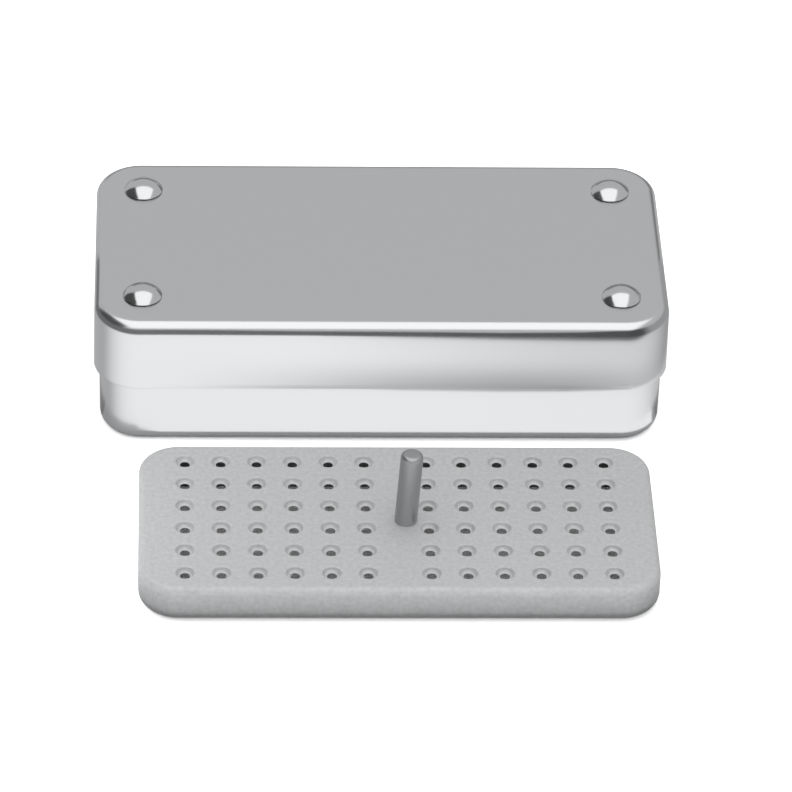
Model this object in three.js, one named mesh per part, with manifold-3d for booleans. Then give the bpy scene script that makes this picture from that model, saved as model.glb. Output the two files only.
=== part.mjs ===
// Endodontic box: a drawn steel pan, a cover that slips over it, and a pressed rack for files
// that stands in front. Millimetres, +Z up, +X along the box, +Y to its back.
// The origin is the middle of the pan's flat underside.

import * as THREE from "three";
import { mergeVertices } from "three/addons/utils/BufferGeometryUtils.js";
import Module from "manifold-3d";

const wasm = await Module();
wasm.setup();

// Box: the cover outside, and the height of the closed box
const boxSheet = 0.7;
const lidLength = 130;
const lidWidth = 66;
const lidCornerRadius = 10.5;
const lidEdgeRadius = 2.7;
const lidDepth = 17.3;
const lidDraft = 0.15;
const closedHeight = 33.5;

// Pan: what it keeps clear of the cover, and its own pressed form
const slideGap = 0.25;
const seatGap = 0.3;
const baseDraft = 0.2;
const baseEdgeRadius = 3.6;

// Feet: domed rivets through the cover's top
const footInsetX = 11;
const footInsetY = 12;
const footDiameter = 8.8;
const footLand = 0.35;
const footDomeHeight = 2.1;
const footUndercut = 0.4;
const footShankDiameter = 3;
const footHoleGap = 0.2;
const footTailDiameter = 4.8;
const footTailHeight = 0.7;
const footTailBevel = 0.25;

// Rack: a pressed tray, upside down, with its rim turned in
const rackSheet = 1.2;
const rackLength = 114.3;
const rackWidth = 52.7;
const rackHeight = 9;
const rackCornerRadius = 8.8;
const rackEdgeRadius = 1.6;
const rackHemRadius = 2.6;
const rackHemLip = 1.2;
const rackAsideX = 2.5;
const rackGapToLid = 11;

// Holes: two groups of rows and columns, each hole countersunk down to a short straight land
const holeRows = 6;
const holeColumns = 6;
const holePitch = 8;
const groupSpacing = 13.8;
const holeDiameter = 2.2;
const countersinkDiameter = 4.6;
const holeLand = 0.15;

// Pin, with the screw and washer that hold it
const pinDiameter = 5;
const pinHeight = 18.3;
const pinChamfer = 0.9;
const pinLeanDegrees = 3;
const pinAsideX = 1.8;
const pinForwardY = 1.3;
const screwDiameter = 2.5;
const screwReach = 6;
const screwTipGap = 0.6;
const screwHoleGap = 0.3;
const screwHeadDiameter = 4.6;
const screwHeadHeight = 1.6;
const screwSlotWidth = 0.7;
const screwSlotDepth = 0.8;
const washerDiameter = 6;
const washerThickness = 0.5;

// How far a cut runs past what it cuts
const overrun = 1;

// Steps of arcs and rounds
const cornerSteps = 8;
const edgeSteps = 5;
const domeSteps = 6;
const roundSteps = 24;
const holeSteps = 12;

// Sizes that follow from those above
const lidRimZ = closedHeight - lidDepth;
const ceilingZ = closedHeight - boxSheet;
const lidInnerEdge = lidEdgeRadius - boxSheet;
const baseInset = lidDraft + boxSheet + slideGap;
const baseLength = lidLength - 2 * baseInset;
const baseWidth = lidWidth - 2 * baseInset;
const baseCornerRadius = lidCornerRadius - baseInset;
const ceilingCornerRise = Math.sqrt(lidInnerEdge ** 2 - (lidInnerEdge - slideGap) ** 2);
const baseHeight = ceilingZ - lidInnerEdge + ceilingCornerRise - seatGap;
const rackY = -(lidWidth / 2 + rackGapToLid + rackWidth / 2);
const rackUndersideZ = rackHeight - rackSheet;
const washerZ = rackUndersideZ - washerThickness;

const polishedSteel = { color: 0xd3d5d7, roughness: 0.14, metalness: 1 };
const satinAluminium = { color: 0xc4c5c6, roughness: 0.5, metalness: 1 };
const turnedSteel = { color: 0x97989a, roughness: 0.34, metalness: 1 };

// A closed geometry: shared vertices, no flat triangles, faces outwards
function closedGeometry(geometry) {
  const bare = geometry.clone();
  bare.deleteAttribute("normal");
  bare.deleteAttribute("uv");
  const merged = mergeVertices(bare);
  const points = merged.attributes.position;
  const from = merged.index.array;
  const corners = [0, 1, 2].map(() => new THREE.Vector3());
  const kept = [];
  let volume = 0;
  for (let i = 0; i < from.length; i += 3) {
    const [a, b, c] = from.slice(i, i + 3);
    if (a === b || b === c || c === a) continue;
    kept.push(a, b, c);
    [a, b, c].forEach((index, k) => corners[k].fromBufferAttribute(points, index));
    volume += corners[0].dot(corners[1].cross(corners[2]));
  }
  if (volume < 0) kept.reverse();
  merged.setIndex(kept);
  return merged;
}

function toSolid(geometry) {
  const closed = closedGeometry(geometry);
  return new wasm.Manifold(new wasm.Mesh({
    numProp: 3,
    vertProperties: new Float32Array(closed.attributes.position.array),
    triVerts: new Uint32Array(closed.index.array),
  }));
}

function toGeometry(solid) {
  const mesh = solid.getMesh();
  const geometry = new THREE.BufferGeometry();
  geometry.setAttribute("position", new THREE.BufferAttribute(new Float32Array(mesh.vertProperties), 3));
  geometry.setIndex(new THREE.BufferAttribute(new Uint32Array(mesh.triVerts), 1));
  return geometry;
}

function piece(name, geometry, finish) {
  const material = new THREE.MeshStandardMaterial({ ...finish, flatShading: true });
  const mesh = new THREE.Mesh(closedGeometry(geometry), material);
  mesh.name = name;
  return mesh;
}

// A turned piece about Z, from a profile of [radius, height] that starts and ends on the axis
function turned(profile, steps) {
  const points = profile.map(([radius, height]) => new THREE.Vector2(radius, height));
  return new THREE.LatheGeometry(points, steps).rotateX(Math.PI / 2);
}

// A tube wall about Z: a closed profile that doesn't reach the axis
function turnedRing(innerRadius, outerRadius, low, high, steps) {
  const profile = [
    [innerRadius, low],
    [outerRadius, low],
    [outerRadius, high],
    [innerRadius, high],
    [innerRadius, low],
  ];
  return turned(profile, steps);
}

// One level of a pressing: a rectangle with round corners, inset from the outer outline
function roundedRing({ length, width, cornerRadius }, inset, z) {
  const points = [];
  const radius = cornerRadius - inset;
  for (let corner = 0; corner < 4; corner += 1) {
    const side = corner === 0 || corner === 3 ? 1 : -1;
    const end = corner < 2 ? 1 : -1;
    for (let step = 0; step <= cornerSteps; step += 1) {
      const angle = (corner + step / cornerSteps) * (Math.PI / 2);
      points.push([
        side * (length / 2 - cornerRadius) + radius * Math.cos(angle),
        end * (width / 2 - cornerRadius) + radius * Math.sin(angle),
        z,
      ]);
    }
  }
  return points;
}

// An arc of [inset, height] stations about a centre, from one angle to another
function arcStations(centreInset, centreHeight, radius, startAngle, endAngle) {
  return Array.from({ length: edgeSteps + 1 }, (_, step) => {
    const angle = startAngle + ((endAngle - startAngle) * step) / edgeSteps;
    return [centreInset - radius * Math.cos(angle), centreHeight + radius * Math.sin(angle)];
  });
}

// The section of a pan that opens upwards, as [inset, height] from the middle of its outside,
// over its rim and back to the middle of its inside
function panStations({ sheet, depth, draft, edgeRadius, hemRadius, hemLip }) {
  const quarter = Math.PI / 2;
  const centre = draft + edgeRadius;
  const outerEdge = arcStations(centre, edgeRadius, edgeRadius, -quarter, 0);
  const innerEdge = arcStations(centre, edgeRadius, edgeRadius - sheet, 0, -quarter);
  if (hemRadius === 0) return [...outerEdge, [0, depth], [sheet, depth], ...innerEdge];
  const hemHeight = depth - hemRadius;
  const lipInset = hemRadius + hemLip;
  return [
    ...outerEdge,
    ...arcStations(hemRadius, hemHeight, hemRadius, 0, quarter),
    [lipInset, depth],
    [lipInset, depth - sheet],
    ...arcStations(hemRadius, hemHeight, hemRadius - sheet, quarter, 0),
    ...innerEdge,
  ];
}

// A pressing: its section carried round its outline, with both ends closed by flat faces
function pressing(shape) {
  const rings = panStations(shape).map(([inset, z]) => roundedRing(shape, inset, z));
  const count = rings[0].length;
  const outside = rings.length * count;
  const middles = [[0, 0, 0], [0, 0, shape.sheet]];
  const points = [...rings.flat(), ...middles].flat();
  const index = [];
  for (let k = 0; k < count; k += 1) {
    const next = (k + 1) % count;
    for (let ring = 0; ring < rings.length - 1; ring += 1) {
      const low = ring * count;
      const high = low + count;
      index.push(low + k, low + next, high + next, low + k, high + next, high + k);
    }
    const last = (rings.length - 1) * count;
    index.push(outside, next, k);
    index.push(outside + 1, last + k, last + next);
  }
  const geometry = new THREE.BufferGeometry();
  geometry.setAttribute("position", new THREE.Float32BufferAttribute(points, 3));
  geometry.setIndex(index);
  return geometry;
}

// The same pressing turned over, with its flat outside at the given height
function turnedOver(geometry, topZ) {
  return geometry.clone().rotateX(Math.PI).translate(0, 0, topZ);
}

function roundCut(radius, low, high, steps) {
  return turned([[0, low], [radius, low], [radius, high], [0, high]], steps);
}

// Pan
function makeBase() {
  return pressing({
    length: baseLength,
    width: baseWidth,
    cornerRadius: baseCornerRadius,
    sheet: boxSheet,
    depth: baseHeight,
    draft: baseDraft,
    edgeRadius: baseEdgeRadius,
    hemRadius: 0,
  });
}

// Cover, with a hole for each foot
const footPlaces = {
  back_left: [-1, 1],
  back_right: [1, 1],
  front_left: [-1, -1],
  front_right: [1, -1],
};

function footCentre([side, end]) {
  return [side * (lidLength / 2 - footInsetX), end * (lidWidth / 2 - footInsetY)];
}

function makeLid() {
  const cover = pressing({
    length: lidLength,
    width: lidWidth,
    cornerRadius: lidCornerRadius,
    sheet: boxSheet,
    depth: lidDepth,
    draft: lidDraft,
    edgeRadius: lidEdgeRadius,
    hemRadius: 0,
  });
  let solid = toSolid(turnedOver(cover, closedHeight));
  const holeRadius = footShankDiameter / 2 + footHoleGap;
  const hole = roundCut(holeRadius, ceilingZ - overrun, closedHeight + overrun, roundSteps);
  for (const place of Object.values(footPlaces)) {
    const [x, y] = footCentre(place);
    solid = solid.subtract(toSolid(hole.clone().translate(x, y, 0)));
  }
  return toGeometry(solid);
}

// Foot: a dome that lies on the cover, its shank, and the set head below the cover's top
function makeFoot() {
  const radius = footDiameter / 2;
  const ballRadius = (radius ** 2 + footDomeHeight ** 2) / (2 * footDomeHeight);
  const spread = Math.asin(radius / ballRadius);
  const landTop = closedHeight + footLand;
  const ballCentre = landTop + footDomeHeight - ballRadius;
  const dome = Array.from({ length: domeSteps }, (_, step) => {
    const angle = spread * (1 - step / domeSteps);
    return [ballRadius * Math.sin(angle), ballCentre + ballRadius * Math.cos(angle)];
  });
  const tailRadius = footTailDiameter / 2;
  const tailLow = ceilingZ - footTailHeight;
  return turned([
    [0, tailLow],
    [tailRadius - footTailBevel, tailLow],
    [tailRadius, tailLow + footTailBevel],
    [tailRadius, ceilingZ],
    [footShankDiameter / 2, ceilingZ],
    [footShankDiameter / 2, closedHeight],
    [radius - footUndercut, closedHeight],
    [radius, closedHeight + footUndercut / 2],
    ...dome,
    [0, landTop + footDomeHeight],
  ], roundSteps);
}

// Rack: the pressing, its countersunk holes and the hole of the pin's screw
const pinCentre = [pinAsideX, -pinForwardY];

function holeCentres() {
  const centres = [];
  const firstColumnX = groupSpacing / 2;
  const firstRowY = ((holeRows - 1) * holePitch) / 2;
  for (const side of [-1, 1]) {
    for (let column = 0; column < holeColumns; column += 1) {
      for (let row = 0; row < holeRows; row += 1) {
        centres.push([side * (firstColumnX + column * holePitch), firstRowY - row * holePitch]);
      }
    }
  }
  return centres;
}

function makeRack() {
  const tray = pressing({
    length: rackLength,
    width: rackWidth,
    cornerRadius: rackCornerRadius,
    sheet: rackSheet,
    depth: rackHeight,
    draft: 0,
    edgeRadius: rackEdgeRadius,
    hemRadius: rackHemRadius,
    hemLip: rackHemLip,
  });
  const holeRadius = holeDiameter / 2;
  const sinkRadius = countersinkDiameter / 2;
  const sinkDepth = rackSheet - holeLand;
  const sinkSpread = (sinkRadius - holeRadius) / sinkDepth;
  const cut = turned([
    [0, rackUndersideZ - overrun],
    [holeRadius, rackUndersideZ - overrun],
    [holeRadius, rackHeight - sinkDepth],
    [sinkRadius + overrun * sinkSpread, rackHeight + overrun],
    [0, rackHeight + overrun],
  ], holeSteps);
  const cuts = holeCentres().map(([x, y]) => toSolid(cut.clone().translate(x, y, 0)));
  const screwHole = roundCut(
    screwDiameter / 2 + screwHoleGap,
    rackUndersideZ - overrun,
    rackHeight + overrun,
    roundSteps,
  );
  cuts.push(toSolid(screwHole.translate(...pinCentre, 0)));
  let solid = toSolid(turnedOver(tray, rackHeight));
  for (const hole of cuts) solid = solid.subtract(hole);
  return toGeometry(solid);
}

// Pin: a turned rod that leans, faced flat at its foot and bored for the screw
function makePin() {
  const radius = pinDiameter / 2;
  const lean = THREE.MathUtils.degToRad(pinLeanDegrees);
  const rod = turned([
    [0, -pinDiameter],
    [radius, -pinDiameter],
    [radius, pinHeight - pinChamfer],
    [radius - pinChamfer, pinHeight],
    [0, pinHeight],
  ], roundSteps).rotateY(lean);
  const below = new THREE.BoxGeometry(pinDiameter * 2, pinDiameter * 2, pinDiameter * 2);
  below.translate(0, 0, -pinDiameter);
  const boreRadius = screwDiameter / 2 + screwHoleGap;
  const bore = roundCut(boreRadius, -overrun, screwReach + screwTipGap, roundSteps);
  const solid = toSolid(rod).subtract(toSolid(below)).subtract(toSolid(bore));
  return toGeometry(solid).translate(...pinCentre, rackHeight);
}

function makeWasher() {
  const innerRadius = screwDiameter / 2 + screwHoleGap;
  const ring = turnedRing(innerRadius, washerDiameter / 2, washerZ, rackUndersideZ, roundSteps);
  return ring.translate(...pinCentre, 0);
}

// Screw: a slotted cheese head below the washer, and the shank that goes up into the pin
function makeScrew() {
  const headLow = washerZ - screwHeadHeight;
  const body = turned([
    [0, headLow],
    [screwHeadDiameter / 2, headLow],
    [screwHeadDiameter / 2, washerZ],
    [screwDiameter / 2, washerZ],
    [screwDiameter / 2, rackHeight + screwReach],
    [0, rackHeight + screwReach],
  ], roundSteps);
  const slot = new THREE.BoxGeometry(screwHeadDiameter + overrun, screwSlotWidth, screwSlotDepth * 2);
  slot.translate(0, 0, headLow);
  return toGeometry(toSolid(body).subtract(toSolid(slot))).translate(...pinCentre, 0);
}

const box = new THREE.Group();
box.name = "endodontic_box";
box.add(piece("base_shell", makeBase(), polishedSteel));

const lid = new THREE.Group();
lid.add(piece("lid_shell", makeLid(), polishedSteel));
for (const [name, place] of Object.entries(footPlaces)) {
  const foot = piece(`lid_foot_${name}`, makeFoot(), polishedSteel);
  foot.position.set(...footCentre(place), 0);
  lid.add(foot);
}
box.add(lid);

const rack = new THREE.Group();
rack.position.set(rackAsideX, rackY, 0);
rack.add(piece("rack_plate", makeRack(), satinAluminium));
rack.add(piece("lifting_pin", makePin(), turnedSteel));
rack.add(piece("pin_washer", makeWasher(), turnedSteel));
rack.add(piece("pin_screw", makeScrew(), turnedSteel));
box.add(rack);

export default box;
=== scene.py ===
import math
import bmesh
import bpy
from mathutils import Matrix, Vector


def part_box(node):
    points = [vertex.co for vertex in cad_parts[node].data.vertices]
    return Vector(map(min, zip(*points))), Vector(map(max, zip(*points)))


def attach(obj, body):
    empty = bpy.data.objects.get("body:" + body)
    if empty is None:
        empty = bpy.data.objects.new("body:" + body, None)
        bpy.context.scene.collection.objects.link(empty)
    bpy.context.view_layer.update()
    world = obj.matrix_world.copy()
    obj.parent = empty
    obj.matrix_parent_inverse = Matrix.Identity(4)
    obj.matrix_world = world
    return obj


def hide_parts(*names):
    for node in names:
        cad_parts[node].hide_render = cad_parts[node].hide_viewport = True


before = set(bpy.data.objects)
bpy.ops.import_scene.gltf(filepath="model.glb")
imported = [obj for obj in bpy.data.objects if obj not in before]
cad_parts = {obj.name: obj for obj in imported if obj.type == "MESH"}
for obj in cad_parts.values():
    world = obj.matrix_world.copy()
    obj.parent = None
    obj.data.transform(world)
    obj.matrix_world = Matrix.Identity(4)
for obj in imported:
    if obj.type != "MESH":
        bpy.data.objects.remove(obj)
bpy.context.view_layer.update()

mm = 0.001
scene = bpy.context.scene
print("frame loaded:", len(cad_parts), "nodes")


# Small tools

def hexColor(text):
    # sRGB hex to the linear values that the shaders take, by the standard curve
    values = [int(text[i:i + 2], 16) / 255 for i in (1, 3, 5)]
    return [v / 12.92 if v <= 0.04045 else ((v + 0.055) / 1.055) ** 2.4 for v in values] + [1.0]


def evenGray(level):
    return [level] * 3 + [1.0]


def addNode(tree, kind, settings=None, links=None):
    # one node, its settings, and for each input a value or the socket that feeds it
    node = tree.nodes.new(kind)
    for name, value in (settings or {}).items():
        setattr(node, name, value)
    for name, value in (links or {}).items():
        if isinstance(value, bpy.types.NodeSocket):
            tree.links.new(value, node.inputs[name])
        else:
            node.inputs[name].default_value = value
    return node


def newMaterial(name):
    material = bpy.data.materials.new(name)
    material.use_nodes = True
    material.node_tree.nodes.clear()
    return material, material.node_tree


def newTree(name, inputs):
    # a Geometry Nodes tree with a mesh in, named inputs for its values, and a mesh out
    tree = bpy.data.node_groups.new(name, "GeometryNodeTree")
    tree.interface.new_socket("Geometry", in_out="INPUT", socket_type="NodeSocketGeometry")
    for label, kind in inputs.items():
        tree.interface.new_socket(label, in_out="INPUT", socket_type=kind)
    tree.interface.new_socket("Geometry", in_out="OUTPUT", socket_type="NodeSocketGeometry")
    return tree, addNode(tree, "NodeGroupInput").outputs


def newObject(name, mesh):
    obj = bpy.data.objects.new(name, mesh)
    scene.collection.objects.link(obj)
    return obj


def middleOf(node):
    # the middle of a node's outline, seen from above
    low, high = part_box(node)
    return ((low.x + high.x) / 2, (low.y + high.y) / 2)


def applyModifiers(obj):
    # what the modifiers make becomes the object's own mesh
    graph = bpy.context.evaluated_depsgraph_get()
    mesh = bpy.data.meshes.new_from_object(obj.evaluated_get(graph))
    obj.modifiers.clear()
    obj.data = mesh


def useTree(obj, tree, values):
    # a Geometry Nodes modifier with its inputs set by identifier
    modifier = obj.modifiers.new(tree.name, "NODES")
    modifier.node_group = tree
    for item in tree.interface.items_tree:
        if item.in_out == "INPUT" and item.name in values:
            modifier[item.identifier] = values[item.name]
    applyModifiers(obj)


# Outlines

def arc(centre, radius, start, end, steps):
    # points on an arc, angles in degrees
    angles = [math.radians(start + (end - start) * i / steps) for i in range(steps + 1)]
    return [(centre[0] + radius * math.cos(a), centre[1] + radius * math.sin(a)) for a in angles]


def circleRing(centre, radius, z, steps):
    angles = [2 * math.pi * k / steps for k in range(steps)]
    return [(centre[0] + radius * math.cos(a), centre[1] + radius * math.sin(a), z) for a in angles]


def roundedRing(shape, inset, z):
    # a rectangle with round corners, inset from the piece's outer outline
    cx, cy = shape["centre"]
    corner = shape["corner"]
    reachX = shape["length"] / 2 - corner
    reachY = shape["width"] / 2 - corner
    points = []
    for quarter, (sx, sy) in enumerate(((1, 1), (-1, 1), (-1, -1), (1, -1))):
        start = quarter * 90
        for x, y in arc((0, 0), corner - inset, start, start + 90, shape["cornerSteps"]):
            points.append((cx + sx * reachX + x, cy + sy * reachY + y, z))
    return points


def between(x, places, values):
    # the value at x, on straight lines between the places and level beyond them
    for k in range(1, len(places)):
        if x <= places[k]:
            share = max((x - places[k - 1]) / (places[k] - places[k - 1]), 0)
            return values[k - 1] + (values[k] - values[k - 1]) * share
    return values[-1]


# Meshes from rings of points

def addRing(bm, points):
    return [bm.verts.new(p) for p in points]


def joinRings(bm, rings):
    # quads between neighbouring rings
    for first, second in zip(rings, rings[1:]):
        for k in range(len(first)):
            n = (k + 1) % len(first)
            bm.faces.new((first[k], first[n], second[n], second[k]))


def turnedRings(bm, centre, profile, steps):
    # rings about an upright axis, one for each [radius, height] of the profile
    rings = [addRing(bm, circleRing(centre, r, z, steps)) for r, z in profile]
    joinRings(bm, rings)
    return rings


def sweptRings(bm, shape, section, toZ):
    # a section of [inset, height] carried round the outline
    rings = [addRing(bm, roundedRing(shape, inset, toZ(z))) for inset, z in section]
    joinRings(bm, rings)
    return rings


def fillFlat(bm, loops):
    # a flat face between closed loops of vertices, with the inner loops left open
    edges = []
    for loop in loops:
        for k, vert in enumerate(loop):
            other = loop[(k + 1) % len(loop)]
            edges.append(bm.edges.get((vert, other)) or bm.edges.new((vert, other)))
    bmesh.ops.triangle_fill(bm, use_beauty=True, use_dissolve=False, edges=edges)


def finishMesh(bm, name, sharpAngle):
    # edges that turn by more than the angle, in degrees, are shown sharp
    bmesh.ops.recalc_face_normals(bm, faces=bm.faces)
    mesh = bpy.data.meshes.new(name)
    bm.to_mesh(mesh)
    bm.free()
    mesh.shade_smooth()
    mesh.set_sharp_from_angle(angle=math.radians(sharpAngle))
    return mesh


def turnedMesh(name, profile, steps, sharpAngle):
    # a turned piece about Z, whose profile starts and ends on the axis
    bm = bmesh.new()
    rings = turnedRings(bm, (0, 0), profile[1:-1], steps)
    for ring, (_, z) in ((rings[0], profile[0]), (rings[-1], profile[-1])):
        middle = bm.verts.new((0, 0, z))
        for k in range(steps):
            bm.faces.new((ring[k], ring[(k + 1) % steps], middle))
    return finishMesh(bm, name, sharpAngle)


# Finishes

fineNoise = {"Detail": 3, "Roughness": 0.6}
softNoise = {"Detail": 2, "Roughness": 0.5}
noiseRange = {"From Min": 0.3, "From Max": 0.7}   # most of a noise pattern lies between these

sheetFinish = {
    "color": "#d7d8da",
    "roughness": (0.22, 0.245),    # from the best buffed places to the least
    "cloud": 22 * mm,              # across such a place
    "rollingLine": 0.5 * mm,       # between the lines, coarse enough to show
    "lineScale": (0.02, 1, 1),     # the lines run along the sheet
    "lineStrength": 0.12,
    "lineDepth": 0.02 * mm,
}


def buffedSteel():
    # 304 stainless sheet, deep drawn and buffed: bright, a soft mirror with faint lines along its length
    material, tree = newMaterial("buffedStainlessSheet")
    place = addNode(tree, "ShaderNodeTexCoord").outputs["Object"]
    stretched = addNode(tree, "ShaderNodeMapping", links={
        "Vector": place, "Scale": sheetFinish["lineScale"]})
    lines = addNode(tree, "ShaderNodeTexNoise", links={
        "Vector": stretched.outputs[0], "Scale": 1 / sheetFinish["rollingLine"], **fineNoise})
    cloud = addNode(tree, "ShaderNodeTexNoise", links={
        "Vector": place, "Scale": 1 / sheetFinish["cloud"], **softNoise})
    rough = addNode(tree, "ShaderNodeMapRange", links={
        "Value": cloud.outputs[0], **noiseRange,
        "To Min": sheetFinish["roughness"][0], "To Max": sheetFinish["roughness"][1]})
    bump = addNode(tree, "ShaderNodeBump", links={
        "Height": lines.outputs[0], "Strength": sheetFinish["lineStrength"],
        "Distance": sheetFinish["lineDepth"]})
    shader = addNode(tree, "ShaderNodeBsdfPrincipled", links={
        "Base Color": hexColor(sheetFinish["color"]), "Metallic": 1.0,
        "Roughness": rough.outputs[0], "Normal": bump.outputs[0]})
    addNode(tree, "ShaderNodeOutputMaterial", links={"Surface": shader.outputs[0]})
    return material


footFinish = {
    "color": "#d2d3d5",
    "roughness": (0.14, 0.2),
    "cloud": 1.5 * mm,             # across a place of like polish
}


def mirrorSteel():
    # the same steel, turned and mirror polished: it shows the light and the dark cards with clear edges
    material, tree = newMaterial("mirrorPolishedStainless")
    place = addNode(tree, "ShaderNodeTexCoord").outputs["Object"]
    cloud = addNode(tree, "ShaderNodeTexNoise", links={
        "Vector": place, "Scale": 1 / footFinish["cloud"], **softNoise})
    rough = addNode(tree, "ShaderNodeMapRange", links={
        "Value": cloud.outputs[0],
        "To Min": footFinish["roughness"][0], "To Max": footFinish["roughness"][1]})
    shader = addNode(tree, "ShaderNodeBsdfPrincipled", links={
        "Base Color": hexColor(footFinish["color"]), "Metallic": 1.0, "Roughness": rough.outputs[0]})
    addNode(tree, "ShaderNodeOutputMaterial", links={"Surface": shader.outputs[0]})
    return material


rackFinish = {
    "color": "#cecfd0",
    "metallic": 0.4,               # the blasted and oxidised skin scatters more than bare metal
    "roughness": (0.56, 0.65),
    "cloud": 9 * mm,
    "speck": 1 * mm,               # across a speck of the blasting, drawn coarse enough to show
    "speckContrast": 0.08,
    "speckStrength": 0.25,
    "speckDepth": 0.03 * mm,
}


def blastedAluminium():
    # pressed aluminium sheet, bead blasted: even, pale and faintly speckled, without a mirror
    material, tree = newMaterial("beadBlastedAluminium")
    place = addNode(tree, "ShaderNodeTexCoord").outputs["Object"]
    specks = addNode(tree, "ShaderNodeTexNoise", links={
        "Vector": place, "Scale": 1 / rackFinish["speck"], **fineNoise})
    cloud = addNode(tree, "ShaderNodeTexNoise", links={
        "Vector": place, "Scale": 1 / rackFinish["cloud"], **softNoise})
    rough = addNode(tree, "ShaderNodeMapRange", links={
        "Value": cloud.outputs[0], **noiseRange,
        "To Min": rackFinish["roughness"][0], "To Max": rackFinish["roughness"][1]})
    bump = addNode(tree, "ShaderNodeBump", links={
        "Height": specks.outputs[0], "Strength": rackFinish["speckStrength"],
        "Distance": rackFinish["speckDepth"]})
    shade = addNode(tree, "ShaderNodeMapRange", links={
        "Value": specks.outputs[0], **noiseRange,
        "To Min": 1 - rackFinish["speckContrast"], "To Max": 1 + rackFinish["speckContrast"]})
    color = addNode(tree, "ShaderNodeVectorMath", {"operation": "SCALE"}, {
        0: hexColor(rackFinish["color"])[:3], "Scale": shade.outputs[0]})
    shader = addNode(tree, "ShaderNodeBsdfPrincipled", links={
        "Base Color": color.outputs[0], "Metallic": rackFinish["metallic"],
        "Roughness": rough.outputs[0], "Normal": bump.outputs[0]})
    addNode(tree, "ShaderNodeOutputMaterial", links={"Surface": shader.outputs[0]})
    return material


pinFinish = {
    "color": "#adaeb0",
    "roughness": 0.4,
    "toolMark": 0.35 * mm,         # between the rings
    "markScale": (0.05, 0.05, 1),  # the rings lie level, round the rod
    "markStrength": 0.25,
    "markDepth": 0.03 * mm,
}


def turnedSteel():
    # bright bar turned on a lathe: darker than the sheet, with fine rings round it
    material, tree = newMaterial("turnedSteelBar")
    place = addNode(tree, "ShaderNodeTexCoord").outputs["Object"]
    squeezed = addNode(tree, "ShaderNodeMapping", links={
        "Vector": place, "Scale": pinFinish["markScale"]})
    marks = addNode(tree, "ShaderNodeTexNoise", links={
        "Vector": squeezed.outputs[0], "Scale": 1 / pinFinish["toolMark"], **softNoise})
    bump = addNode(tree, "ShaderNodeBump", links={
        "Height": marks.outputs[0], "Strength": pinFinish["markStrength"],
        "Distance": pinFinish["markDepth"]})
    shader = addNode(tree, "ShaderNodeBsdfPrincipled", links={
        "Base Color": hexColor(pinFinish["color"]), "Metallic": 1.0,
        "Roughness": pinFinish["roughness"], "Normal": bump.outputs[0]})
    addNode(tree, "ShaderNodeOutputMaterial", links={"Surface": shader.outputs[0]})
    return material


sheetSteel = buffedSteel()
footSteel = mirrorSteel()
rackMetal = blastedAluminium()
pinSteel = turnedSteel()
print("finishes made")


# Pressings: the pan and the cover share one section, the cover turned over

pressings = {
    "sheet": 0.7 * mm,
    "rimRound": 0.22 * mm,     # the trimmed edge is rounded over
    "flatSupport": 0.4 * mm,   # the flat starts this far inside the edge radius
    "edgeSteps": 14,
    "rimSteps": 4,
    "wallSteps": 10,
    "cornerSteps": 28,
    "holeSteps": 32,
    "sharpAngle": 40,
}


def boxShape(node, corner):
    low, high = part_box(node)
    return {
        "length": high.x - low.x,
        "width": high.y - low.y,
        "centre": middleOf(node),
        "corner": corner,
        "cornerSteps": pressings["cornerSteps"],
    }


def bend(start, edge, sheet):
    # the edge radius between flat and wall as [inset, height], outside going up and inside coming down
    steps = pressings["edgeSteps"]
    outer = [(start + edge - x, y) for x, y in arc((0, edge), edge, -90, 0, steps)]
    inner = [(start + edge - x, y) for x, y in arc((0, edge), edge - sheet, 0, -90, steps)]
    return outer, inner


def dishSection(depth, dish):
    # [inset, height] from the flat outside, up the wall, over the rim and down to the flat inside
    sheet = pressings["sheet"]
    rim = pressings["rimRound"]
    edge = dish["edge"]
    draft = dish["draft"]
    flat = draft + edge + pressings["flatSupport"]
    outer, inner = bend(draft, edge, sheet)
    top = depth - rim
    shares = [i / pressings["wallSteps"] for i in range(1, pressings["wallSteps"])]
    outerWall = [(draft * (1 - share), edge + (top - edge) * share) for share in shares]
    innerWall = [(inset + sheet, height) for inset, height in reversed(outerWall)]
    rimOut = [(rim - x, y) for x, y in arc((0, top), rim, 0, 90, pressings["rimSteps"])]
    rimIn = [(sheet - rim - x, y) for x, y in arc((0, top), rim, 90, 180, pressings["rimSteps"])]
    return [(flat, 0)] + outer + outerWall + rimOut + rimIn + innerWall + inner + [(flat, sheet)]


def pressing(name, shape, section, toZ, holes=()):
    # the section carried round the outline; holes are round ones through the flat
    bm = bmesh.new()
    rings = sweptRings(bm, shape, section, toZ)
    flats = [[rings[0]], [rings[-1]]]
    for centre, radius in holes:
        ends = [(radius, toZ(section[0][1])), (radius, toZ(section[-1][1]))]
        for flat, ring in zip(flats, turnedRings(bm, centre, ends, pressings["holeSteps"])):
            flat.append(ring)
    for loops in flats:
        if len(loops) == 1:
            bm.faces.new(loops[0])
        else:
            fillFlat(bm, loops)
    obj = newObject(name, finishMesh(bm, name, pressings["sharpAngle"]))
    obj.data.materials.append(sheetSteel)
    return obj


# Pan

pan = {"corner": 9.4 * mm, "edge": 3.6 * mm, "draft": 0.2 * mm}


def makePan():
    low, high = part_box("base_shell")
    section = dishSection(high.z - low.z, pan)
    obj = pressing("baseShell", boxShape("base_shell", pan["corner"]), section, lambda z: low.z + z)
    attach(obj, "base")
    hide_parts("base_shell")


# Cover

cover = {"corner": 10.5 * mm, "edge": 2.7 * mm, "draft": 0.15 * mm, "holeGap": 0.2 * mm}


def footCentres():
    places = ("back_left", "back_right", "front_left", "front_right")
    return [middleOf(f"lid_foot_{place}") for place in places]


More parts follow.
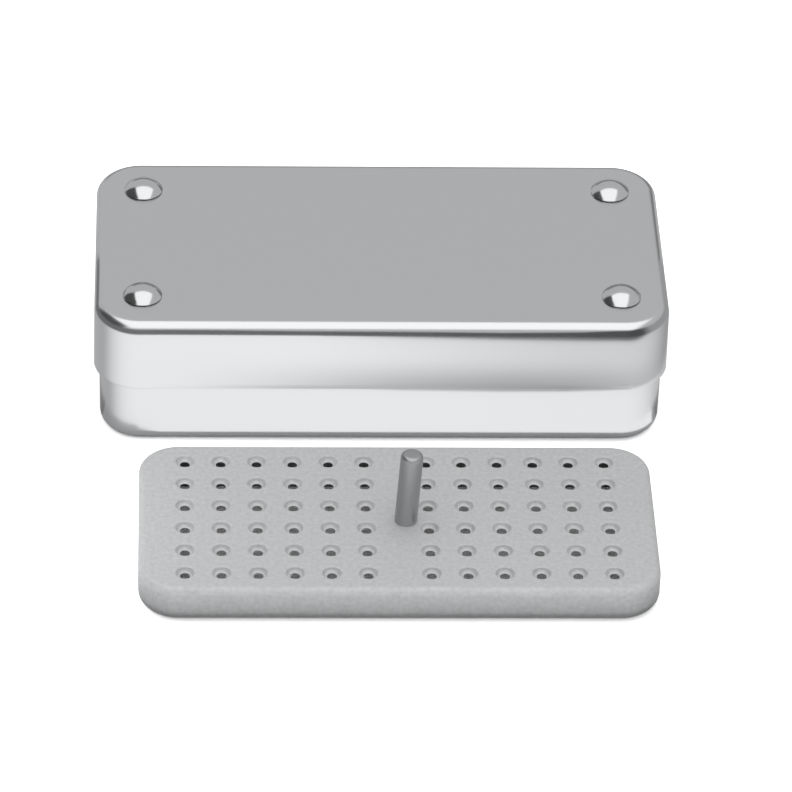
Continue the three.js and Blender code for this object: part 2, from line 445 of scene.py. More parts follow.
def makeCover():
    low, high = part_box("lid_shell")
    section = dishSection(high.z - low.z, cover)
    shape = boxShape("lid_shell", cover["corner"])
    holes = [(centre, foot["shank"] / 2 + cover["holeGap"]) for centre in footCentres()]
    obj = pressing("lidShell", shape, section, lambda z: high.z - z, holes)
    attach(obj, "lid")
    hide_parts("lid_shell")


# Feet: one turned dome, set at the corners of a rectangle

foot = {
    "diameter": 8.8 * mm,
    "dome": 2.1 * mm,          # rise of the dome over its land
    "land": 0.35 * mm,
    "undercut": 0.4 * mm,
    "shank": 3 * mm,
    "tail": 4.8 * mm,          # the riveted end inside the cover
    "tailHeight": 0.7 * mm,
    "tailRound": 0.3 * mm,
    "domeSteps": 18,
    "tailSteps": 5,
    "steps": 64,
    "sharpAngle": 30,
}


def footProfile(top, ceiling):
    # from the tail's end on the axis, up through the cover, to the top of the dome
    radius = foot["diameter"] / 2
    rise = foot["dome"]
    ball = (radius ** 2 + rise ** 2) / (2 * rise)
    spread = math.degrees(math.asin(radius / ball))
    landTop = top + foot["land"]
    dome = arc((0, landTop + rise - ball), ball, 90 - spread, 90, foot["domeSteps"])
    under = foot["undercut"]
    tail = foot["tail"] / 2
    shank = foot["shank"] / 2
    soft = foot["tailRound"]
    tailLow = ceiling - foot["tailHeight"]
    tailEdge = arc((tail - soft, tailLow + soft), soft, -90, 0, foot["tailSteps"])
    stem = [(tail, ceiling), (shank, ceiling), (shank, top)]
    head = [(radius - under, top), (radius, top + under / 2), (radius, landTop)]
    return [(0, tailLow)] + tailEdge + stem + head + dome[1:]


def cornersTree():
    # copies of one piece at the corners of a rectangle, made real
    tree, given = newTree("piecesAtCorners", {
        "Piece": "NodeSocketObject", "Spacing X": "NodeSocketFloat", "Spacing Y": "NodeSocketFloat",
        "Finish": "NodeSocketMaterial"})
    corners = addNode(tree, "GeometryNodeMeshGrid", links={
        "Size X": given["Spacing X"], "Size Y": given["Spacing Y"], "Vertices X": 2, "Vertices Y": 2})
    piece = addNode(tree, "GeometryNodeObjectInfo", links={"Object": given["Piece"]})
    placed = addNode(tree, "GeometryNodeInstanceOnPoints", links={
        "Points": corners.outputs["Mesh"], "Instance": piece.outputs["Geometry"]})
    real = addNode(tree, "GeometryNodeRealizeInstances", links={"Geometry": placed.outputs[0]})
    done = addNode(tree, "GeometryNodeSetMaterial", links={
        "Geometry": real.outputs[0], "Material": given["Finish"]})
    addNode(tree, "NodeGroupOutput", links={"Geometry": done.outputs[0]})
    return tree


def makeFeet():
    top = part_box("lid_shell")[1].z
    profile = footProfile(top, top - pressings["sheet"])
    single = newObject("footPattern", turnedMesh("foot", profile, foot["steps"], foot["sharpAngle"]))
    xs, ys = zip(*footCentres())
    obj = newObject("lidFeet", bpy.data.meshes.new("lidFeet"))
    useTree(obj, cornersTree(), {
        "Piece": single, "Spacing X": max(xs) - min(xs), "Spacing Y": max(ys) - min(ys),
        "Finish": footSteel})
    bpy.data.objects.remove(single)
    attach(obj, "lid")
    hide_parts(*[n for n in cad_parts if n.startswith("lid_foot_")])


# Rack: a pressed tray. Each hole is a round rosette with its countersink, welded into the flat

rack = {
    "sheet": 1.2 * mm,
    "corner": 8.8 * mm,
    "edge": 1.6 * mm,
    "hem": 2.8 * mm,           # radius of the rolled rim
    "lip": 1.2 * mm,
    "lipRound": 0.2 * mm,
    "pitch": 8 * mm,
    "columns": 6,              # in each of the two groups
    "rows": 6,
    "groupSpacing": 13.8 * mm,   # from the last column of one group to the first of the other
    "hole": 2.2 * mm,
    "sink": 4.7 * mm,
    "sinkDepth": 1.08 * mm,
    "sinkRound": 0.4 * mm,
    "wallSlope": 75,           # degrees, at the top of the countersink's round-bottomed bowl
    "floorSlope": 5,           # degrees, beside the hole
    "rosette": 2.6 * mm,
    "sinkSteps": 5,
    "bowlSteps": 8,
    "holeSteps": 32,
    "sharpAngle": 60,
    "holeSharpAngle": 50,
    "weld": 0.005 * mm,
}


def bowl(start, end):
    # points after the start on a curve that eases from the wall's slope to the floor's
    curve = arc((0, 0), 1, 90 - rack["wallSlope"], 90 - rack["floorSlope"], rack["bowlSteps"])
    (firstX, firstY), (lastX, lastY) = curve[0], curve[-1]
    across = (start[0] - end[0]) / (firstX - lastX)
    down = (start[1] - end[1]) / (lastY - firstY)
    return [(start[0] - (firstX - x) * across, start[1] - (y - firstY) * down) for x, y in curve[1:]]


def holeRosette(topZ, lowZ):
    # from the flat over a soft edge, down the bowl to the hole, and out along the underside
    hole = rack["hole"] / 2
    soft = rack["sinkRound"]
    edge = arc((rack["sink"] / 2, topZ - soft), soft, 90, 90 + rack["wallSlope"], rack["sinkSteps"])
    sides = bowl(edge[-1], (hole, topZ - rack["sinkDepth"]))
    profile = [(rack["rosette"], topZ)] + edge + sides + [(hole, lowZ), (rack["rosette"], lowZ)]
    bm = bmesh.new()
    turnedRings(bm, (0, 0), profile, rack["holeSteps"])
    return finishMesh(bm, "holeRosette", rack["holeSharpAngle"])


def holeCentres(centre):
    # the middles of all holes, as the node tree sets them out
    pitch = rack["pitch"]
    spanX = (rack["columns"] - 1) * pitch
    spanY = (rack["rows"] - 1) * pitch
    reach = (rack["groupSpacing"] + spanX) / 2
    starts = [centre[0] + side * reach - spanX / 2 for side in (-1, 1)]
    xs = [start + column * pitch for start in starts for column in range(rack["columns"])]
    ys = [centre[1] - spanY / 2 + row * pitch for row in range(rack["rows"])]
    return [(x, y) for x in xs for y in ys]


def traySection(depth):
    # as the pan's, but with the rim rolled in to a hem that ends in a flat lip
    sheet = rack["sheet"]
    hem = rack["hem"]
    soft = rack["lipRound"]
    flat = rack["edge"] + pressings["flatSupport"]
    end = hem + rack["lip"]
    steps = pressings["edgeSteps"]
    outer, inner = bend(0, rack["edge"], sheet)
    out = [(hem - x, y) for x, y in arc((0, depth - hem), hem, 0, 90, steps)]
    back = [(hem - x, y) for x, y in arc((0, depth - hem), hem - sheet, 90, 0, steps)]
    low = depth - sheet
    tip = [(end - soft, depth), (end, depth - soft), (end, low + soft), (end - soft, low)]
    return [(flat, 0)] + outer + out + tip + back + inner + [(flat, sheet)]


def perforationTree():
    # two groups of rosettes in rows and columns, welded to the tray round them
    tree, given = newTree("rackPerforations", {
        "Rosette": "NodeSocketObject", "Pitch": "NodeSocketFloat", "Columns": "NodeSocketInt",
        "Rows": "NodeSocketInt", "Group Spacing": "NodeSocketFloat", "Centre": "NodeSocketVector",
        "Finish": "NodeSocketMaterial"})
    spans = []
    for holes in ("Columns", "Rows"):
        gaps = addNode(tree, "ShaderNodeMath", {"operation": "SUBTRACT"}, {0: given[holes], 1: 1.0})
        spans.append(addNode(tree, "ShaderNodeMath", {"operation": "MULTIPLY"}, {
            0: gaps.outputs[0], 1: given["Pitch"]}).outputs[0])
    grid = addNode(tree, "GeometryNodeMeshGrid", links={
        "Size X": spans[0], "Size Y": spans[1],
        "Vertices X": given["Columns"], "Vertices Y": given["Rows"]})
    rosette = addNode(tree, "GeometryNodeObjectInfo", links={"Object": given["Rosette"]})
    group = addNode(tree, "GeometryNodeInstanceOnPoints", links={
        "Points": grid.outputs["Mesh"], "Instance": rosette.outputs["Geometry"]})
    apart = addNode(tree, "ShaderNodeMath", {"operation": "ADD"}, {0: given["Group Spacing"], 1: spans[0]})
    joined = addNode(tree, "GeometryNodeJoinGeometry", links={"Geometry": given["Geometry"]})
    for half in (-0.5, 0.5):   # the middle of each group lies half of that to its side
        offset = addNode(tree, "ShaderNodeMath", {"operation": "MULTIPLY"}, {0: apart.outputs[0], 1: half})
        along = addNode(tree, "ShaderNodeCombineXYZ", links={"X": offset.outputs[0]})
        place = addNode(tree, "ShaderNodeVectorMath", {"operation": "ADD"}, {
            0: given["Centre"], 1: along.outputs[0]})
        moved = addNode(tree, "GeometryNodeTransform", links={
            "Geometry": group.outputs[0], "Translation": place.outputs[0]})
        tree.links.new(moved.outputs[0], joined.inputs[0])
    real = addNode(tree, "GeometryNodeRealizeInstances", links={"Geometry": joined.outputs[0]})
    welded = addNode(tree, "GeometryNodeMergeByDistance", links={
        "Geometry": real.outputs[0], "Distance": rack["weld"]})
    done = addNode(tree, "GeometryNodeSetMaterial", links={
        "Geometry": welded.outputs[0], "Material": given["Finish"]})
    addNode(tree, "NodeGroupOutput", links={"Geometry": done.outputs[0]})
    return tree


def makeRack():
    low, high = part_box("rack_plate")
    shape = boxShape("rack_plate", rack["corner"])
    centre = shape["centre"]
    steps = rack["holeSteps"]
    topZ = high.z
    lowZ = high.z - rack["sheet"]
    bm = bmesh.new()
    rings = sweptRings(bm, shape, traySection(high.z - low.z), lambda z: high.z - z)
    screwHole = screw["diameter"] / 2 + screw["gap"]
    ends = turnedRings(bm, middleOf("pin_washer"), [(screwHole, topZ), (screwHole, lowZ)], steps)
    places = holeCentres(centre)
    for ring, z, end in ((rings[0], topZ, ends[0]), (rings[-1], lowZ, ends[1])):
        openings = [addRing(bm, circleRing(place, rack["rosette"], z, steps)) for place in places]
        fillFlat(bm, [ring, end] + openings)
    obj = newObject("rackPlate", finishMesh(bm, "rackPlate", rack["sharpAngle"]))
    rosette = newObject("rosettePattern", holeRosette(topZ, lowZ))
    useTree(obj, perforationTree(), {
        "Rosette": rosette, "Pitch": rack["pitch"], "Columns": rack["columns"], "Rows": rack["rows"],
        "Group Spacing": rack["groupSpacing"], "Centre": (centre[0], centre[1], 0), "Finish": rackMetal})
    bpy.data.objects.remove(rosette)
    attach(obj, "rack")
    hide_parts("rack_plate")


# Pin

pin = {
    "diameter": 5 * mm,
    "lean": 3.0,               # degrees to the right
    "endRound": 1.1 * mm,
    "endSpan": 84,             # degrees of the round end, before its small flat
    "endFlat": 0.3 * mm,
    "boreDepth": 6.6 * mm,
    "endSteps": 10,
    "steps": 64,
    "sharpAngle": 35,
}


def makePin():
    # the rod leans, and its foot is slid along the lean so that it stands flat on the rack
    x, y = middleOf("pin_washer")
    low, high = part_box("lifting_pin")
    radius = pin["diameter"] / 2
    soft = pin["endRound"]
    lean = math.radians(pin["lean"])
    rise = high.z - low.z - (radius - soft) * math.sin(lean)
    height = rise / math.cos(lean) - soft * (1 - math.cos(lean))
    end = arc((radius - soft, height - soft), soft, 0, pin["endSpan"], pin["endSteps"])
    profile = [(radius, 0)] + end + [(radius - soft - pin["endFlat"], height)]
    bm = bmesh.new()
    turn = Matrix.Rotation(lean, 3, "Y")
    axis = turn @ Vector((0, 0, 1))
    rings = []
    for r, z in profile:
        points = [turn @ Vector(p) for p in circleRing((0, 0), r, z, pin["steps"])]
        if z == 0:
            points = [p - axis * (p.z / axis.z) for p in points]
        rings.append(addRing(bm, [(p.x + x, p.y + y, p.z + low.z) for p in points]))
    joinRings(bm, rings)
    bm.faces.new(rings[-1])
    bore = screw["diameter"] / 2 + screw["gap"]
    boreWall = [(bore, low.z), (bore, low.z + pin["boreDepth"])]
    mouth, floor = turnedRings(bm, (x, y), boreWall, pin["steps"])
    joinRings(bm, (rings[0], mouth))
    bm.faces.new(floor)
    obj = newObject("liftingPin", finishMesh(bm, "liftingPin", pin["sharpAngle"]))
    obj.data.materials.append(pinSteel)
    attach(obj, "rack")
    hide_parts("lifting_pin")


# Washer

washer = {"round": 0.1 * mm, "steps": 64, "sharpAngle": 35}


def makeWasher():
    low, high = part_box("pin_washer")
    outer = (high.x - low.x) / 2
    inner = screw["diameter"] / 2 + screw["gap"]
    soft = washer["round"]
    section = [
        (inner, low.z + soft), (inner + soft, low.z), (outer - soft, low.z), (outer, low.z + soft),
        (outer, high.z - soft), (outer - soft, high.z), (inner + soft, high.z), (inner, high.z - soft),
    ]
    bm = bmesh.new()
    rings = turnedRings(bm, middleOf("pin_washer"), section, washer["steps"])
    joinRings(bm, (rings[-1], rings[0]))
    obj = newObject("pinWasher", finishMesh(bm, "pinWasher", washer["sharpAngle"]))
    obj.data.materials.append(pinSteel)
    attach(obj, "rack")
    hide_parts("pin_washer")


# Screw

screw = {
    "diameter": 2.5 * mm,
    "gap": 0.3 * mm,           # round the screw in its holes
    "headRound": 0.25 * mm,
    "slotWidth": 0.7 * mm,
    "slotDepth": 0.8 * mm,
    "slotReach": 3,            # times the head's radius, so that the cut runs out on both sides
    "thread": 0.45 * mm,       # from ring to ring
    "threadDepth": 0.16 * mm,
    "tipInset": 0.3 * mm,
    "headSteps": 5,
    "steps": 48,
    "sharpAngle": 25,
}


def slotCutter(radius, low):
    # half of it lies below the head, so it is twice as deep as the slot
    bm = bmesh.new()
    size = (radius * screw["slotReach"], screw["slotWidth"], screw["slotDepth"] * 2)
    bmesh.ops.create_cube(bm, size=1)
    bmesh.ops.scale(bm, vec=size, verts=bm.verts)
    bmesh.ops.translate(bm, vec=(0, 0, low), verts=bm.verts)
    mesh = bpy.data.meshes.new("slotCutter")
    bm.to_mesh(mesh)
    bm.free()
    return newObject("slotCutter", mesh)


def makeScrew():
    # the thread is drawn as rings, one for each turn
    low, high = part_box("pin_screw")
    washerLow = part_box("pin_washer")[0].z
    head = (high.x - low.x) / 2
    shank = screw["diameter"] / 2
    soft = screw["headRound"]
    thread = screw["thread"]
    edge = arc((head - soft, low.z + soft), soft, -90, 0, screw["headSteps"])
    profile = [(0, low.z)] + edge + [(head, washerLow), (shank, washerLow)]
    for i in range(int((high.z - washerLow - thread) / thread)):
        crest = washerLow + thread * (i + 0.5)
        profile += [(shank, crest), (shank - screw["threadDepth"], crest + thread * 0.5)]
    profile += [(shank - screw["tipInset"], high.z), (0, high.z)]
    obj = newObject("pinScrew", turnedMesh("pinScrew", profile, screw["steps"], screw["sharpAngle"]))
    cutter = slotCutter(head, low.z)
    cut = obj.modifiers.new("slot", "BOOLEAN")
    cut.operation = "DIFFERENCE"
    cut.object = cutter
    cut.solver = "EXACT"
    applyModifiers(obj)
    bpy.data.objects.remove(cutter)
    x, y = middleOf("pin_washer")
    obj.data.transform(Matrix.Translation((x, y, 0)))
    obj.data.set_sharp_from_angle(angle=math.radians(screw["sharpAngle"]))
    obj.data.materials.clear()
    obj.data.materials.append(pinSteel)
    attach(obj, "rack")
    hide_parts("pin_screw")


makePan()
makeCover()
makeFeet()
print("box made")
makeRack()
makePin()
makeWasher()
makeScrew()
print("rack made")


# Studio: a pale floor, one broad soft light overhead in a gray room, and cards unseen by the camera

studio = {
    "roomLevel": 0.6,
    "floorColor": "#f2f2f2",
    "floorSeen": 2.0,          # as the camera sees it, so that it goes to white beside its shadows
    # painted shade: the metal shows the floor darker than it is lit, as if shaded near the box and the
    # rack
    "floorShadeInMetal": 0.52,
    "floorReach": 6000 * mm,
    "lightSize": (810 * mm, 970 * mm),
    "lightPlace": (5 * mm, -255 * mm, 620 * mm),
    "lightLevel": 0.76,
    "cardLift": 0.1 * mm,      # flat cards lie this far over the floor
}
allRays = ("camera", "diffuse", "glossy", "transmission", "volume_scatter", "shadow")


def makeLight():
    light = bpy.data.lights.new("overheadLight", "AREA")
    light.shape = "RECTANGLE"
    light.size, light.size_y = studio["lightSize"]
    light.energy = studio["lightLevel"] * math.pi * light.size * light.size_y
    obj = newObject("overheadLight", light)
    obj.location = studio["lightPlace"]
    obj.visible_camera = False


def card(name, rows, material, seenBy=("glossy",)):
    # a sheet between two rows of points, seen only by rays of the given kinds
    bm = bmesh.new()
    first, second = (addRing(bm, row) for row in rows)
    for k in range(len(first) - 1):
        bm.faces.new((first[k], first[k + 1], second[k + 1], second[k]))
    mesh = bpy.data.meshes.new(name)
    bm.to_mesh(mesh)
    bm.free()
    mesh.materials.append(material)
    obj = newObject(name, mesh)
    for ray in allRays:
        setattr(obj, f"visible_{ray}", ray in seenBy)


def makeFloor():
    # one paper for the diffuse light, one darker for what the metal shows (painted shade of the floor
    # round the box and the rack), and one for the camera
    material, tree = newMaterial("paperFloor")
    path = addNode(tree, "ShaderNodeLightPath").outputs
    paper = addNode(tree, "ShaderNodeBsdfDiffuse", links={"Color": hexColor(studio["floorColor"])})
    shadedInMetal = addNode(tree, "ShaderNodeBsdfDiffuse", links={"Color": evenGray(studio["floorShadeInMetal"])})
    seen = addNode(tree, "ShaderNodeBsdfDiffuse", links={"Color": evenGray(studio["floorSeen"])})
    first = addNode(tree, "ShaderNodeMixShader", links={
        0: path["Is Glossy Ray"], 1: paper.outputs[0], 2: shadedInMetal.outputs[0]})
    second = addNode(tree, "ShaderNodeMixShader", links={
        0: path["Is Camera Ray"], 1: first.outputs[0], 2: seen.outputs[0]})
    addNode(tree, "ShaderNodeOutputMaterial", links={"Surface": second.outputs[0]})
    side = studio["floorReach"]
    card("floor", [[(-side, y, 0), (side, y, 0)] for y in (-side, side)], material, allRays)


def plainCard(name, level):
    # an even glow, and nothing from behind
    material, tree = newMaterial(name)
    behind = addNode(tree, "ShaderNodeNewGeometry").outputs["Backfacing"]
    glow = addNode(tree, "ShaderNodeEmission", links={"Strength": level})
    clear = addNode(tree, "ShaderNodeBsdfTransparent")
    mixed = addNode(tree, "ShaderNodeMixShader", links={
        0: behind, 1: glow.outputs[0], 2: clear.outputs[0]})
    addNode(tree, "ShaderNodeOutputMaterial", links={"Surface": mixed.outputs[0]})
    return material


def toneCard(name, places, levels, axis="X"):
    # a glow with tones along one axis, from places in mm and their levels
    material, tree = newMaterial(name)
    place = addNode(tree, "ShaderNodeTexCoord").outputs["Object"]
    axes = addNode(tree, "ShaderNodeSeparateXYZ", links={0: place}).outputs
    share = addNode(tree, "ShaderNodeMapRange", links={
        "Value": axes[axis], "From Min": places[0] * mm, "From Max": places[-1] * mm})
    ramp = addNode(tree, "ShaderNodeValToRGB", links={0: share.outputs[0]})
    stops = ramp.color_ramp.elements
    while len(stops) < len(places):
        stops.new(0.5)   # its own place follows below
    highest = max(levels)
    for stop, x, tone in zip(stops, places, levels):
        stop.position = (x - places[0]) / (places[-1] - places[0])
        stop.color = evenGray(tone / highest)
    glow = addNode(tree, "ShaderNodeEmission", links={"Color": ramp.outputs[0], "Strength": highest})
    addNode(tree, "ShaderNodeOutputMaterial", links={"Surface": glow.outputs[0]})
    return material


# Wall: low cards round the front and the sides of the box, with a dark strip along their top

wall = {
    "aside": 7 * mm,           # from the cover
    "ahead": 5 * mm,
    "corner": 18 * mm,
    "back": 55 * mm,           # how far back the wall and its strip reach beside the box
    "stripBack": 6 * mm,
    "cornerSteps": 10,
    "frontSteps": 24,
    # place along X, top of the wall and top of the strip, in mm
    "tops": (
        (-65, 28.9, 35), (-42, 28.9, 35), (-19, 28.6, 33.8), (5, 27.5, 33.4),
        (28, 26.8, 32.6), (45, 26.5, 33.6), (60, 26.5, 37), (66, 27.5, 37),
    ),
    # place along X in mm and level of the strip
    "stripTones": ((-60, 0.19), (50, 0.07), (62, 0.07), (66, 0.4)),
    "frontLevel": 1.18,
    "skirtDip": 0.49,          # dimmer by this at the height of the cover's skirt
    # the sides' levels are painted shade of the floor beside the box
    "leftLevel": 0.52,
    "rackLevel": 0.5,          # the outer face, which the rack sees
    # fades over the wall: axis, start and end in mm, and the values there
    "fades": {
        "fromLeft": ("X", -55, 15, 0, 1), "fromRight": ("X", 95, 25, 0, 1),
        "overPan": ("Z", 11.2, 12, 0, 1), "underTop": ("Z", 22, 12, 0, 1),
        "toRight": ("X", -30, 60, 0, 0.27),
        # painted shade: the sides fade to their dimmer levels
        "leftAhead": ("Y", -39, -26, 0, 1), "leftAside": ("X", 0, -50, 0, 1),
        "rightAhead": ("Y", -41, -17, 0, 1), "rightAside": ("X", 0, 50, 0, 1),
        "rightLevel": ("Z", 8, 14, 0.66, 0.4),
        "toBack": ("Y", 0, 45, 0, 1),
    },
}


def wallMaterial():
    # bright in front of the box, dimmer at the skirt's height and at the sides, and as the room behind;
    # the dim sides are painted shade, the floor's shade beside the box as the pan's corners show it
    material, tree = newMaterial("gradedCard")
    place = addNode(tree, "ShaderNodeTexCoord").outputs["Object"]
    axes = addNode(tree, "ShaderNodeSeparateXYZ", links={0: place}).outputs
    tones = {name: wall[name] for name in ("frontLevel", "skirtDip", "leftLevel")}
    tones["roomLevel"] = studio["roomLevel"]
    for name, (axis, start, end, low, high) in wall["fades"].items():
        tones[name] = addNode(tree, "ShaderNodeMapRange", {"interpolation_type": "SMOOTHSTEP"}, {
            "Value": axes[axis], "From Min": start * mm, "From Max": end * mm,
            "To Min": low, "To Max": high}).outputs[0]
    sums = (
        ("along", "MULTIPLY", "fromLeft", "fromRight"),
        ("skirt", "MULTIPLY", "overPan", "underTop"),
        ("skirtAlong", "MULTIPLY", "along", "skirt"),
        ("dip", "MULTIPLY", "skirtAlong", "skirtDip"),
        ("rightDip", "MULTIPLY", "toRight", "overPan"),
        ("dips", "ADD", "dip", "rightDip"),
        ("front", "SUBTRACT", "frontLevel", "dips"),
        ("leftSide", "MULTIPLY", "leftAhead", "leftAside"),
        ("rightSide", "MULTIPLY", "rightAhead", "rightAside"),
    )
    for name, operation, first, second in sums:
        tones[name] = addNode(tree, "ShaderNodeMath", {"operation": operation}, {
            0: tones[first], 1: tones[second]}).outputs[0]
    # the front's tone goes over to three others, each by its share
    level = tones["front"]
    blends = (("leftSide", "leftLevel"), ("rightSide", "rightLevel"), ("toBack", "roomLevel"))
    for share, other in blends:
        level = addNode(tree, "ShaderNodeMix", links={
            "Factor": tones[share], "A": level, "B": tones[other]}).outputs[0]
    outer = addNode(tree, "ShaderNodeNewGeometry").outputs["Backfacing"]
    inside = addNode(tree, "ShaderNodeEmission", links={"Strength": level})
    outside = addNode(tree, "ShaderNodeEmission", links={"Strength": wall["rackLevel"]})
    mixed = addNode(tree, "ShaderNodeMixShader", links={
        0: outer, 1: inside.outputs[0], 2: outside.outputs[0]})
    addNode(tree, "ShaderNodeOutputMaterial", links={"Surface": mixed.outputs[0]})
    return material


def wallCorner():
    # the middle of the wall's right corner, which the left one mirrors
    low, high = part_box("lid_shell")
    return (high.x + wall["aside"] - wall["corner"], low.y - wall["ahead"] + wall["corner"])


def wallPath(back):
    # from the right end round the front to the left end
    x, y = wallCorner()
    radius = wall["corner"]
    steps = wall["frontSteps"]
    right = arc((x, y), radius, 360, 270, wall["cornerSteps"])
    front = [(x - 2 * x * i / steps, y - radius) for i in range(1, steps)]
    left = arc((-x, y), radius, 270, 180, wall["cornerSteps"])
    return [(x + radius, back)] + right + front + left + [(-x - radius, back)]


def makeWall():
    places, wallTops, stripTops = zip(*wall["tops"])

    def row(back, tops):
        return [(x, y, between(x / mm, places, tops) * mm) for x, y in wallPath(back)]

    bottom = [(x, y, 0) for x, y in wallPath(wall["back"])]
    card("cardWall", [bottom, row(wall["back"], wallTops)], wallMaterial())
    strip = [row(wall["stripBack"], tops) for tops in (wallTops, stripTops)]
    stripPlaces, stripLevels = zip(*wall["stripTones"])
    card("cardStrip", strip, toneCard("stripCard", stripPlaces, stripLevels))


# Sill: a bright card that lies before the pan and turns its right corner with it

sill = {
    "gap": 2.4 * mm,           # from the pan
    "lefts": (58 * mm, 50 * mm),   # where its outer and inner edge start, left of the middle
    "turn": 75,                # degrees round the corner
}


def makeSill():
    low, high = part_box("base_shell")
    corner = pan["corner"]
    end = 270 + sill["turn"]
    outer = arc(wallCorner(), wall["corner"], 270, end, wall["cornerSteps"])
    inner = arc((high.x - corner, low.y + corner), corner + sill["gap"], 270, end, wall["cornerSteps"])
    rows = []
    for left, points in zip(sill["lefts"], (outer, inner)):
        start = (-left, points[0][1])
        rows.append([(x, y, studio["cardLift"]) for x, y in [start] + points])
    card("cardSill", rows, plainCard("sillCard", wall["frontLevel"]))


# Rim line: a narrow card close before the cover's rim, dimmer in its middle and towards the right, which
# paints shade along the rim and on the pan's wall just under it

rimLine = {
    "gap": 0.8 * mm,
    "above": 0.4 * mm,         # over the rim
    # place along X and reach below the rim, in mm, and level
    "tones": (
        (-52, 1.2, 1.15), (-42, 1.3, 1.08), (-19, 1.6, 0.77), (5, 2.6, 0.64),
        (28, 2.9, 0.53), (42, 2.8, 0.48), (51, 2.5, 0.6), (57, 2, 0.78),
    ),
}


def makeRimLine():
    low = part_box("lid_shell")[0]
    face = low.y - rimLine["gap"]
    places, reaches, levels = zip(*rimLine["tones"])
    under = [(x * mm, face, low.z - reach * mm) for x, reach in zip(places, reaches)]
    over = [(x * mm, face, low.z + rimLine["above"]) for x in places]
    # painted shade under the cover's rim, from the card's dim tones
    card("cardRim", [under, over], toneCard("rimCard", places, levels))


# Cards round the rack: dark cards paint shade on the floor at its front and under its rim, and a fill
# stands to its left

rackShades = {
    # at both edges of the card, the reach out from the rack's outline and the height
    # painted shade: a low dark strip close before the rack, which darkens its rolled rim as the metal
    # shows it
    "rackFence": {
        "edges": ((1 * mm, 2.6 * mm), (1 * mm, 0)), "level": 0.02, "seenBy": ("glossy",)},
    # painted shadow: a dark sheet on the floor before the rack
    "rackShade": {
        "edges": ((6 * mm, 0.2 * mm), (0.4 * mm, 0.2 * mm)), "level": 0.02,
        "seenBy": ("glossy", "diffuse")},
    # painted shade: a dimmer sheet on the floor under the rack's rolled rim
    "rackRimShade": {
        "edges": ((0.4 * mm, 0.2 * mm), (-rack["hem"], 0.2 * mm)), "level": 0.3,
        "seenBy": ("glossy", "diffuse")},
}
rackCards = {
    "fillGap": 25 * mm,        # from the rack's left end
    "fillHeight": 45 * mm,
    "fillLevel": 1.7,
    "apronGap": 4 * mm,        # a bright sheet on the floor before the rack
    "apronSide": 300 * mm,
    "apronFront": -500 * mm,
    "apronLevel": 0.95,
}


def makeRackCards():
    outline = boxShape("rack_plate", rack["corner"])
    for name, shade in rackShades.items():
        rings = [roundedRing(outline, -reach, z) for reach, z in shade["edges"]]
        rows = [ring[len(ring) // 2:] for ring in rings]   # the front and its two corners
        card(name, rows, plainCard(name, shade["level"]), shade["seenBy"])
    low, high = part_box("rack_plate")
    x = low.x - rackCards["fillGap"]
    fill = [[(x, y, z) for y in (low.y, high.y)] for z in (0, rackCards["fillHeight"])]
    card("rackFill", fill, plainCard("rackFill", rackCards["fillLevel"]), ("diffuse",))
    side = rackCards["apronSide"]
    ends = (rackCards["apronFront"], low.y - rackCards["apronGap"])
    apron = [[(x, y, studio["cardLift"]) for x in (-side, side)] for y in ends]
    card("cardApron", apron, plainCard("apronCard", rackCards["apronLevel"]))


# Far cards: dark flags that give the feet and the cover's edges their dark marks, and the floor behind,
# with a painted shadow where it starts beside the pan

flags = {
    # the two ends (x, y) and the lower and the upper edge, in mm, and the level
    "leftFlag": {"ends": ((-410, -420), (-410, 250)), "edges": (100, 620), "level": 0.08},
    "rightFlag": {"ends": ((220, -250), (220, 250)), "edges": (0, 120), "level": 0.08},
    "backFlag": {"ends": ((200, 450), (550, 450)), "edges": (0, 170), "level": 0.2},
    "horizonCard": {"ends": ((-350, 900), (350, 900)), "edges": (0, 280), "level": 0.25},
}
backFloor = {
    "side": 500 * mm,          # how far it reaches to each side
    "end": 600 * mm,
    # painted shadow: dark near the pan, as the floor in its shade
    "tones": ((-22, 0.2), (10, 0.6)),   # place along Y in mm, and level
}


def makeFarCards():
    for name, flag in flags.items():
        rows = [[(x * mm, y * mm, z * mm) for x, y in flag["ends"]] for z in flag["edges"]]
        card(name, rows, plainCard(name, flag["level"]))
    places, levels = zip(*backFloor["tones"])
    side = backFloor["side"]
    ends = (places[0] * mm, backFloor["end"])
    rows = [[(x, y, studio["cardLift"]) for x in (-side, side)] for y in ends]
    # the floor beside and behind the box, with the pan's painted shadow at its near end
    card("cardBack", rows, toneCard("backCard", places, levels, "Y"))


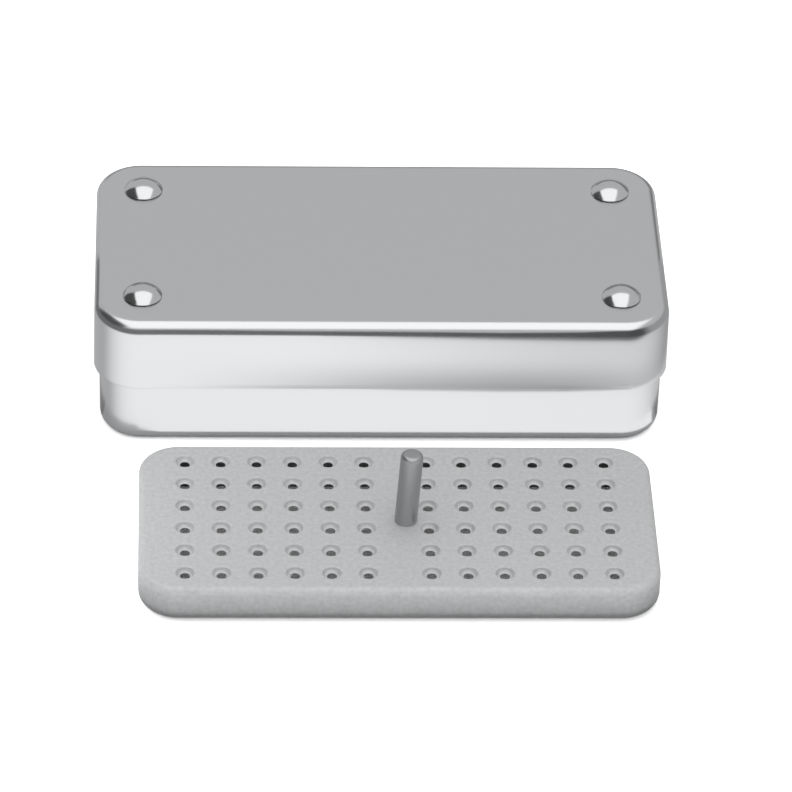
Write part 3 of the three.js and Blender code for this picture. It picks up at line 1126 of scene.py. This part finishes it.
def makeRoom():
    # gray for the metal and the floor, white for the camera
    world = bpy.data.worlds.new("room")
    world.use_nodes = True
    tree = world.node_tree
    tree.nodes.clear()
    path = addNode(tree, "ShaderNodeLightPath").outputs
    direct = addNode(tree, "ShaderNodeMath", {"operation": "MAXIMUM"}, {
        0: path["Is Camera Ray"], 1: path["Is Transmission Ray"]})
    strength = addNode(tree, "ShaderNodeMapRange", links={
        "Value": direct.outputs[0], "To Min": studio["roomLevel"], "To Max": 1.0})
    room = addNode(tree, "ShaderNodeBackground", links={
        "Color": evenGray(1), "Strength": strength.outputs[0]})
    addNode(tree, "ShaderNodeOutputWorld", links={"Surface": room.outputs[0]})
    scene.world = world


# Camera: a long lens, a little to the left and turned slightly, as fitted to the photograph

cameraFit = {
    "elevation": 36.51,        # degrees
    "azimuth": 2.93,
    "roll": 1.91,
    "distance": 1276.3 * mm,
    "aside": 4.62 * mm,
    "above": -8.10 * mm,
    "lens": 250.0,             # in mm, as the sensor
    "sensor": 36.0,
    "clip": (50 * mm, 50000 * mm),
}


def makeCamera():
    e, a, r = (math.radians(cameraFit[name]) for name in ("elevation", "azimuth", "roll"))
    forward = Vector((math.sin(a) * math.cos(e), math.cos(a) * math.cos(e), -math.sin(e)))
    level = Vector((math.cos(a), -math.sin(a), 0))
    upright = level.cross(forward)
    right = level * math.cos(r) + upright * math.sin(r)
    up = upright * math.cos(r) - level * math.sin(r)
    place = right * cameraFit["aside"] + up * cameraFit["above"] - forward * cameraFit["distance"]
    data = bpy.data.cameras.new("camera")
    data.sensor_width = cameraFit["sensor"]
    data.lens = cameraFit["lens"]
    data.clip_start, data.clip_end = cameraFit["clip"]
    camera = newObject("camera", data)
    camera.matrix_world = Matrix((
        (right.x, up.x, -forward.x, place.x),
        (right.y, up.y, -forward.y, place.y),
        (right.z, up.z, -forward.z, place.z),
        (0, 0, 0, 1),
    ))
    scene.camera = camera


makeFloor()
makeLight()
makeWall()
makeSill()
makeRimLine()
makeRackCards()
makeFarCards()
makeRoom()
makeCamera()
scene.view_settings.view_transform = "Standard"
print("studio made")
